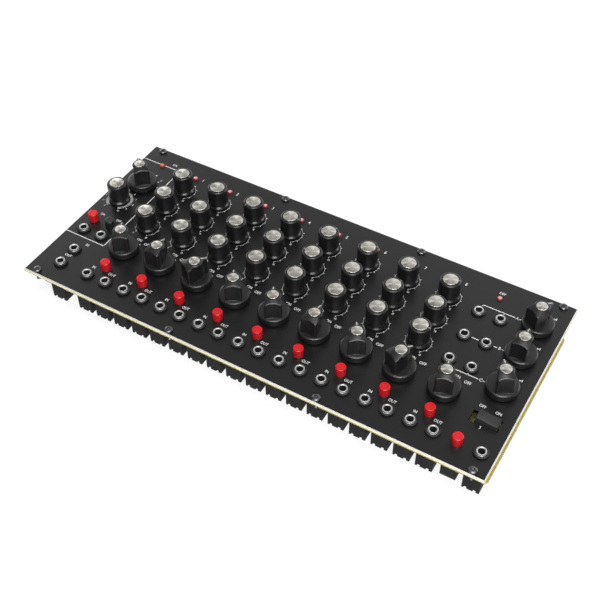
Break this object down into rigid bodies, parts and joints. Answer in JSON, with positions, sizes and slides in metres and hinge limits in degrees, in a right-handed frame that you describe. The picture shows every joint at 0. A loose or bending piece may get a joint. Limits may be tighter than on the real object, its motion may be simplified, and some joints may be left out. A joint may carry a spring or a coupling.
{
  "type": "analogue step sequencer module",
  "caption": "Rack-mounted step sequencer module: black aluminium panel with turning knobs, pressing buttons, a rocker switch, lamps and jack sockets over a control board.",
  "frame": {"origin": "middle of the panel's outline, on the plane of the socket lugs that the module lies on", "axes": "+X across the panel to the right, +Y up the panel, +Z out of its face"},
  "size_m": [0.2842, 0.1284, 0.0411],
  "materials": {
    "panel": "black anodised, brushed, bare at the chamfered edge",
    "board": "glass-fibre laminate, olive, with black sockets on it",
    "housing": "black moulded",
    "knob": "black, satin, with a spun aluminium cap",
    "red_button": "red, satin",
    "black_button": "black, satin",
    "rocker": "dark grey, fine grain",
    "lens": "red lamp lens"
  },
  "bodies": {
    "chassis": {"front_panel": "panel", "control_board": "board", "control_input_jack": "housing", "oscillator_output_jack": "housing", "shift_jack": "housing", "rocker_housing": "housing", "power_header": "housing", "oscillator_lamp": "lens", "idle_lamp": "lens"},
    "step_knob_r1_c1": {"step_knob_r1_c1": "knob"},
    "step_knob_r1_c2": {"step_knob_r1_c2": "knob"},
    "step_knob_r1_c3": {"step_knob_r1_c3": "knob"},
    "step_knob_r1_c4": {"step_knob_r1_c4": "knob"},
    "step_knob_r1_c5": {"step_knob_r1_c5": "knob"},
    "step_knob_r1_c6": {"step_knob_r1_c6": "knob"},
    "step_knob_r1_c7": {"step_knob_r1_c7": "knob"},
    "step_knob_r1_c8": {"step_knob_r1_c8": "knob"},
    "step_knob_r2_c1": {"step_knob_r2_c1": "knob"},
    "step_knob_r2_c2": {"step_knob_r2_c2": "knob"},
    "step_knob_r2_c3": {"step_knob_r2_c3": "knob"},
    "step_knob_r2_c4": {"step_knob_r2_c4": "knob"},
    "step_knob_r2_c5": {"step_knob_r2_c5": "knob"},
    "step_knob_r2_c6": {"step_knob_r2_c6": "knob"},
    "step_knob_r2_c7": {"step_knob_r2_c7": "knob"},
    "step_knob_r2_c8": {"step_knob_r2_c8": "knob"},
    "step_knob_r3_c1": {"step_knob_r3_c1": "knob"},
    "step_knob_r3_c2": {"step_knob_r3_c2": "knob"},
    "step_knob_r3_c3": {"step_knob_r3_c3": "knob"},
    "step_knob_r3_c4": {"step_knob_r3_c4": "knob"},
    "step_knob_r3_c5": {"step_knob_r3_c5": "knob"},
    "step_knob_r3_c6": {"step_knob_r3_c6": "knob"},
    "step_knob_r3_c7": {"step_knob_r3_c7": "knob"},
    "step_knob_r3_c8": {"step_knob_r3_c8": "knob"},
    "vernier_knob": {"vernier_knob": "knob"},
    "frequency_range_knob": {"frequency_range_knob": "knob"},
    "mode_knob_1": {"mode_knob_1": "knob"},
    "mode_knob_2": {"mode_knob_2": "knob"},
    "mode_knob_3": {"mode_knob_3": "knob"},
    "mode_knob_4": {"mode_knob_4": "knob"},
    "mode_knob_5": {"mode_knob_5": "knob"},
    "mode_knob_6": {"mode_knob_6": "knob"},
    "mode_knob_7": {"mode_knob_7": "knob"},
    "mode_knob_8": {"mode_knob_8": "knob"},
    "mode_knob_9": {"mode_knob_9": "knob"},
    "output_range_knob_a": {"output_range_knob_a": "knob"},
    "output_range_knob_b": {"output_range_knob_b": "knob"},
    "output_range_knob_c": {"output_range_knob_c": "knob"},
    "set_button_1": {"set_button_1": "red_button"},
    "set_button_2": {"set_button_2": "red_button"},
    "set_button_3": {"set_button_3": "red_button"},
    "set_button_4": {"set_button_4": "red_button"},
    "set_button_5": {"set_button_5": "red_button"},
    "set_button_6": {"set_button_6": "red_button"},
    "set_button_7": {"set_button_7": "red_button"},
    "set_button_8": {"set_button_8": "red_button"},
    "set_button_9": {"set_button_9": "red_button"},
    "oscillator_on_button": {"oscillator_on_button": "red_button"},
    "oscillator_off_button": {"oscillator_off_button": "black_button"},
    "shift_button": {"shift_button": "red_button"},
    "rocker_key": {"rocker_key": "rocker"}
  },
  "joints": [
    {"name": "step_knob_r1_c1_turn", "type": "hinge", "parent": "chassis", "child": "step_knob_r1_c1", "pos_m": [-0.1013, 0.03705, 0.024], "axis": [0, 0, 1], "range_deg": [-60, 240]},
    {"name": "step_knob_r1_c2_turn", "type": "hinge", "parent": "chassis", "child": "step_knob_r1_c2", "pos_m": [-0.0759, 0.03705, 0.024], "axis": [0, 0, 1], "range_deg": [-300, 0]},
    {"name": "step_knob_r1_c3_turn", "type": "hinge", "parent": "chassis", "child": "step_knob_r1_c3", "pos_m": [-0.0505, 0.03705, 0.024], "axis": [0, 0, 1], "range_deg": [-300, 0]},
    {"name": "step_knob_r1_c4_turn", "type": "hinge", "parent": "chassis", "child": "step_knob_r1_c4", "pos_m": [-0.0251, 0.03705, 0.024], "axis": [0, 0, 1], "range_deg": [-60, 240]},
    {"name": "step_knob_r1_c5_turn", "type": "hinge", "parent": "chassis", "child": "step_knob_r1_c5", "pos_m": [0.0003, 0.03705, 0.024], "axis": [0, 0, 1], "range_deg": [-120, 180]},
    {"name": "step_knob_r1_c6_turn", "type": "hinge", "parent": "chassis", "child": "step_knob_r1_c6", "pos_m": [0.0257, 0.03705, 0.024], "axis": [0, 0, 1], "range_deg": [-90, 210]},
    {"name": "step_knob_r1_c7_turn", "type": "hinge", "parent": "chassis", "child": "step_knob_r1_c7", "pos_m": [0.0511, 0.03705, 0.024], "axis": [0, 0, 1], "range_deg": [-145, 155]},
    {"name": "step_knob_r1_c8_turn", "type": "hinge", "parent": "chassis", "child": "step_knob_r1_c8", "pos_m": [0.0765, 0.03705, 0.024], "axis": [0, 0, 1], "range_deg": [-80, 220]},
    {"name": "step_knob_r2_c1_turn", "type": "hinge", "parent": "chassis", "child": "step_knob_r2_c1", "pos_m": [-0.1013, 0.01814, 0.024], "axis": [0, 0, 1], "range_deg": [-40, 260]},
    {"name": "step_knob_r2_c2_turn", "type": "hinge", "parent": "chassis", "child": "step_knob_r2_c2", "pos_m": [-0.0759, 0.01814, 0.024], "axis": [0, 0, 1], "range_deg": [-300, 0]},
    {"name": "step_knob_r2_c3_turn", "type": "hinge", "parent": "chassis", "child": "step_knob_r2_c3", "pos_m": [-0.0505, 0.01814, 0.024], "axis": [0, 0, 1], "range_deg": [-280, 20]},
    {"name": "step_knob_r2_c4_turn", "type": "hinge", "parent": "chassis", "child": "step_knob_r2_c4", "pos_m": [-0.0251, 0.01814, 0.024], "axis": [0, 0, 1], "range_deg": [-270, 30]},
    {"name": "step_knob_r2_c5_turn", "type": "hinge", "parent": "chassis", "child": "step_knob_r2_c5", "pos_m": [0.0003, 0.01814, 0.024], "axis": [0, 0, 1], "range_deg": [-240, 60]},
    {"name": "step_knob_r2_c6_turn", "type": "hinge", "parent": "chassis", "child": "step_knob_r2_c6", "pos_m": [0.0257, 0.01814, 0.024], "axis": [0, 0, 1], "range_deg": [-180, 120]},
    {"name": "step_knob_r2_c7_turn", "type": "hinge", "parent": "chassis", "child": "step_knob_r2_c7", "pos_m": [0.0511, 0.01814, 0.024], "axis": [0, 0, 1], "range_deg": [-120, 180]},
    {"name": "step_knob_r2_c8_turn", "type": "hinge", "parent": "chassis", "child": "step_knob_r2_c8", "pos_m": [0.0765, 0.01814, 0.024], "axis": [0, 0, 1], "range_deg": [-150, 150]},
    {"name": "step_knob_r3_c1_turn", "type": "hinge", "parent": "chassis", "child": "step_knob_r3_c1", "pos_m": [-0.1013, -0.00075, 0.024], "axis": [0, 0, 1], "range_deg": [-60, 240]},
    {"name": "step_knob_r3_c2_turn", "type": "hinge", "parent": "chassis", "child": "step_knob_r3_c2", "pos_m": [-0.0759, -0.00075, 0.024], "axis": [0, 0, 1], "range_deg": [-130, 170]},
    {"name": "step_knob_r3_c3_turn", "type": "hinge", "parent": "chassis", "child": "step_knob_r3_c3", "pos_m": [-0.0505, -0.00075, 0.024], "axis": [0, 0, 1], "range_deg": [-100, 200]},
    {"name": "step_knob_r3_c4_turn", "type": "hinge", "parent": "chassis", "child": "step_knob_r3_c4", "pos_m": [-0.0251, -0.00075, 0.024], "axis": [0, 0, 1], "range_deg": [-150, 150]},
    {"name": "step_knob_r3_c5_turn", "type": "hinge", "parent": "chassis", "child": "step_knob_r3_c5", "pos_m": [0.0003, -0.00075, 0.024], "axis": [0, 0, 1], "range_deg": [-180, 120]},
    {"name": "step_knob_r3_c6_turn", "type": "hinge", "parent": "chassis", "child": "step_knob_r3_c6", "pos_m": [0.0257, -0.00075, 0.024], "axis": [0, 0, 1], "range_deg": [-150, 150]},
    {"name": "step_knob_r3_c7_turn", "type": "hinge", "parent": "chassis", "child": "step_knob_r3_c7", "pos_m": [0.0511, -0.00075, 0.024], "axis": [0, 0, 1], "range_deg": [-130, 170]},
    {"name": "step_knob_r3_c8_turn", "type": "hinge", "parent": "chassis", "child": "step_knob_r3_c8", "pos_m": [0.0765, -0.00075, 0.024], "axis": [0, 0, 1], "range_deg": [-60, 240]},
    {"name": "vernier_knob_turn", "type": "hinge", "parent": "chassis", "child": "vernier_knob", "pos_m": [-0.13051, 0.01034, 0.024], "axis": [0, 0, 1], "range_deg": [-150, 150]},
    {"name": "frequency_range_knob_turn", "type": "hinge", "parent": "chassis", "child": "frequency_range_knob", "pos_m": [-0.1266, 0.02855, 0.024], "axis": [0, 0, 1], "range_deg": [-120, 30]},
    {"name": "mode_knob_1_turn", "type": "hinge", "parent": "chassis", "child": "mode_knob_1", "pos_m": [-0.1013, -0.02385, 0.024], "axis": [0, 0, 1], "range_deg": [-60, 0]},
    {"name": "mode_knob_2_turn", "type": "hinge", "parent": "chassis", "child": "mode_knob_2", "pos_m": [-0.0759, -0.02385, 0.024], "axis": [0, 0, 1], "range_deg": [-30, 30]},
    {"name": "mode_knob_3_turn", "type": "hinge", "parent": "chassis", "child": "mode_knob_3", "pos_m": [-0.0505, -0.02385, 0.024], "axis": [0, 0, 1], "range_deg": [0, 60]},
    {"name": "mode_knob_4_turn", "type": "hinge", "parent": "chassis", "child": "mode_knob_4", "pos_m": [-0.0251, -0.02385, 0.024], "axis": [0, 0, 1], "range_deg": [-60, 0]},
    {"name": "mode_knob_5_turn", "type": "hinge", "parent": "chassis", "child": "mode_knob_5", "pos_m": [0.0003, -0.02385, 0.024], "axis": [0, 0, 1], "range_deg": [-60, 0]},
    {"name": "mode_knob_6_turn", "type": "hinge", "parent": "chassis", "child": "mode_knob_6", "pos_m": [0.0257, -0.02385, 0.024], "axis": [0, 0, 1], "range_deg": [-30, 30]},
    {"name": "mode_knob_7_turn", "type": "hinge", "parent": "chassis", "child": "mode_knob_7", "pos_m": [0.0511, -0.02385, 0.024], "axis": [0, 0, 1], "range_deg": [-60, 0]},
    {"name": "mode_knob_8_turn", "type": "hinge", "parent": "chassis", "child": "mode_knob_8", "pos_m": [0.0765, -0.02385, 0.024], "axis": [0, 0, 1], "range_deg": [0, 60]},
    {"name": "mode_knob_9_turn", "type": "hinge", "parent": "chassis", "child": "mode_knob_9", "pos_m": [0.1019, -0.02385, 0.024], "axis": [0, 0, 1], "range_deg": [-30, 0]},
    {"name": "output_range_knob_a_turn", "type": "hinge", "parent": "chassis", "child": "output_range_knob_a", "pos_m": [0.12739, 0.04025, 0.024], "axis": [0, 0, 1], "range_deg": [0, 60]},
    {"name": "output_range_knob_b_turn", "type": "hinge", "parent": "chassis", "child": "output_range_knob_b", "pos_m": [0.12739, 0.01605, 0.024], "axis": [0, 0, 1], "range_deg": [-30, 30]},
    {"name": "output_range_knob_c_turn", "type": "hinge", "parent": "chassis", "child": "output_range_knob_c", "pos_m": [0.12739, -0.00875, 0.024], "axis": [0, 0, 1], "range_deg": [-60, 0]},
    {"name": "set_button_1_press", "type": "slide", "parent": "chassis", "child": "set_button_1", "axis": [0, 0, -1], "range_m": [0, 0.0015], "stiffness_N_per_m": 600, "springref_m": -0.0005},
    {"name": "set_button_2_press", "type": "slide", "parent": "chassis", "child": "set_button_2", "axis": [0, 0, -1], "range_m": [0, 0.0015], "stiffness_N_per_m": 600, "springref_m": -0.0005},
    {"name": "set_button_3_press", "type": "slide", "parent": "chassis", "child": "set_button_3", "axis": [0, 0, -1], "range_m": [0, 0.0015], "stiffness_N_per_m": 600, "springref_m": -0.0005},
    {"name": "set_button_4_press", "type": "slide", "parent": "chassis", "child": "set_button_4", "axis": [0, 0, -1], "range_m": [0, 0.0015], "stiffness_N_per_m": 600, "springref_m": -0.0005},
    {"name": "set_button_5_press", "type": "slide", "parent": "chassis", "child": "set_button_5", "axis": [0, 0, -1], "range_m": [0, 0.0015], "stiffness_N_per_m": 600, "springref_m": -0.0005},
    {"name": "set_button_6_press", "type": "slide", "parent": "chassis", "child": "set_button_6", "axis": [0, 0, -1], "range_m": [0, 0.0015], "stiffness_N_per_m": 600, "springref_m": -0.0005},
    {"name": "set_button_7_press", "type": "slide", "parent": "chassis", "child": "set_button_7", "axis": [0, 0, -1], "range_m": [0, 0.0015], "stiffness_N_per_m": 600, "springref_m": -0.0005},
    {"name": "set_button_8_press", "type": "slide", "parent": "chassis", "child": "set_button_8", "axis": [0, 0, -1], "range_m": [0, 0.0015], "stiffness_N_per_m": 600, "springref_m": -0.0005},
    {"name": "set_button_9_press", "type": "slide", "parent": "chassis", "child": "set_button_9", "axis": [0, 0, -1], "range_m": [0, 0.0015], "stiffness_N_per_m": 600, "springref_m": -0.0005},
    {"name": "oscillator_on_button_press", "type": "slide", "parent": "chassis", "child": "oscillator_on_button", "axis": [0, 0, -1], "range_m": [0, 0.0015], "stiffness_N_per_m": 600, "springref_m": -0.0005},
    {"name": "oscillator_off_button_press", "type": "slide", "parent": "chassis", "child": "oscillator_off_button", "axis": [0, 0, -1], "range_m": [0, 0.0015], "stiffness_N_per_m": 600, "springref_m": -0.0005},
    {"name": "shift_button_press", "type": "slide", "parent": "chassis", "child": "shift_button", "axis": [0, 0, -1], "range_m": [0, 0.0015], "stiffness_N_per_m": 600, "springref_m": -0.0005},
    {"name": "rocker_key_tip", "type": "hinge", "parent": "chassis", "child": "rocker_key", "pos_m": [0.12859, -0.03105, 0.0175], "axis": [0, 1, 0], "range_deg": [-12, 0]}
  ]
}
